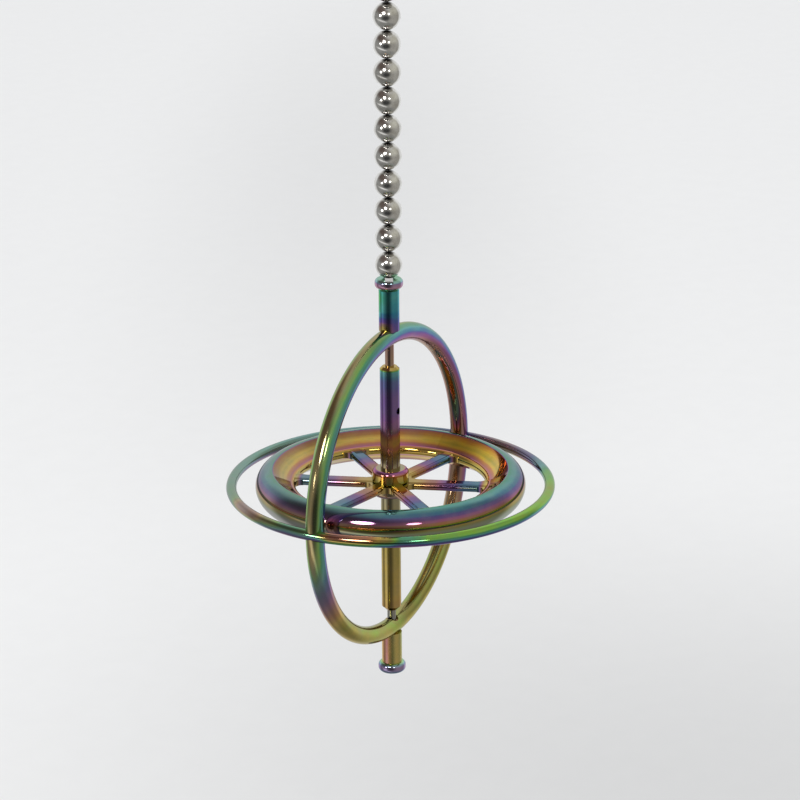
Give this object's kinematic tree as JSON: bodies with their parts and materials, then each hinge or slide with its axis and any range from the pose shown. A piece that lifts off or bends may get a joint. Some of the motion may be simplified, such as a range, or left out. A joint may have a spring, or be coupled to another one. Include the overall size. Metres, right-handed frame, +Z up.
{
  "type": "gyroscope",
  "caption": "Toy gyroscope with a spoked flywheel in crossed frame rings, hanging under a chain of steel-bright magnet balls from a small hanger.",
  "frame": {"origin": "mouth of the blind bore in the hanger, from which everything hangs", "axes": "+Z up along the chain and the gyroscope's axle; +X in the plane of the upright ring"},
  "size_m": [0.0612, 0.0612, 0.1387],
  "materials": {
    "hanger_steel": "turned",
    "ball_chrome": "mirror nickel",
    "bead_plating": "rainbow plating, polished",
    "stem_plating": "rainbow plating, polished",
    "upright_plating": "rainbow plating, polished",
    "level_plating": "rainbow plating, polished",
    "bearing_brass": "plain",
    "axle_plating": "rainbow plating, polished",
    "collar_plating": "rainbow plating, polished",
    "wheel_plating": "rainbow plating, polished"
  },
  "bodies": {
    "hanger": {"hanger": "hanger_steel"},
    "ball_01": {"ball_01": "ball_chrome"},
    "ball_02": {"ball_02": "ball_chrome"},
    "ball_03": {"ball_03": "ball_chrome"},
    "ball_04": {"ball_04": "ball_chrome"},
    "ball_05": {"ball_05": "ball_chrome"},
    "ball_06": {"ball_06": "ball_chrome"},
    "ball_07": {"ball_07": "ball_chrome"},
    "ball_08": {"ball_08": "ball_chrome"},
    "ball_09": {"ball_09": "ball_chrome"},
    "ball_10": {"ball_10": "ball_chrome"},
    "ball_11": {"ball_11": "ball_chrome"},
    "frame": {"upper_bead": "bead_plating", "upper_stem": "stem_plating", "upright_ring": "upright_plating", "level_ring": "level_plating", "lower_stem": "stem_plating", "lower_bead": "bead_plating", "upper_bearing": "bearing_brass", "lower_bearing": "bearing_brass"},
    "rotor": {"axle": "axle_plating", "upper_collar": "collar_plating", "flywheel": "wheel_plating", "lower_collar": "collar_plating"}
  },
  "joints": [
    {"name": "swing_01", "type": "hinge", "parent": "hanger", "child": "ball_01", "pos_m": [0, 0, -0.00775], "axis": [1, 0, 0], "range_deg": [-15, 15]},
    {"name": "swing_02", "type": "hinge", "parent": "ball_01", "child": "ball_02", "pos_m": [0, 0, -0.00775], "axis": [0, 1, 0], "range_deg": [-15, 15]},
    {"name": "swing_03", "type": "hinge", "parent": "ball_02", "child": "ball_03", "pos_m": [0, 0, -0.0128], "axis": [1, 0, 0], "range_deg": [-15, 15]},
    {"name": "swing_04", "type": "hinge", "parent": "ball_03", "child": "ball_04", "pos_m": [0, 0, -0.01785], "axis": [0, 1, 0], "range_deg": [-15, 15]},
    {"name": "swing_05", "type": "hinge", "parent": "ball_04", "child": "ball_05", "pos_m": [0, 0, -0.0229], "axis": [1, 0, 0], "range_deg": [-15, 15]},
    {"name": "swing_06", "type": "hinge", "parent": "ball_05", "child": "ball_06", "pos_m": [0, 0, -0.02795], "axis": [0, 1, 0], "range_deg": [-15, 15]},
    {"name": "swing_07", "type": "hinge", "parent": "ball_06", "child": "ball_07", "pos_m": [0, 0, -0.033], "axis": [1, 0, 0], "range_deg": [-15, 15]},
    {"name": "swing_08", "type": "hinge", "parent": "ball_07", "child": "ball_08", "pos_m": [0, 0, -0.03805], "axis": [0, 1, 0], "range_deg": [-15, 15]},
    {"name": "swing_09", "type": "hinge", "parent": "ball_08", "child": "ball_09", "pos_m": [0, 0, -0.0431], "axis": [1, 0, 0], "range_deg": [-15, 15]},
    {"name": "swing_10", "type": "hinge", "parent": "ball_09", "child": "ball_10", "pos_m": [0, 0, -0.04815], "axis": [0, 1, 0], "range_deg": [-15, 15]},
    {"name": "swing_11", "type": "hinge", "parent": "ball_10", "child": "ball_11", "pos_m": [0, 0, -0.0532], "axis": [1, 0, 0], "range_deg": [-15, 15]},
    {"name": "frame_spin", "type": "hinge", "parent": "ball_11", "child": "frame", "pos_m": [0, 0, -0.05825], "axis": [0, 0, 1], "continuous": true},
    {"name": "wheel_spin", "type": "hinge", "parent": "frame", "child": "rotor", "pos_m": [0, 0, -0.10054], "axis": [0, 0, 1], "continuous": true}
  ]
}
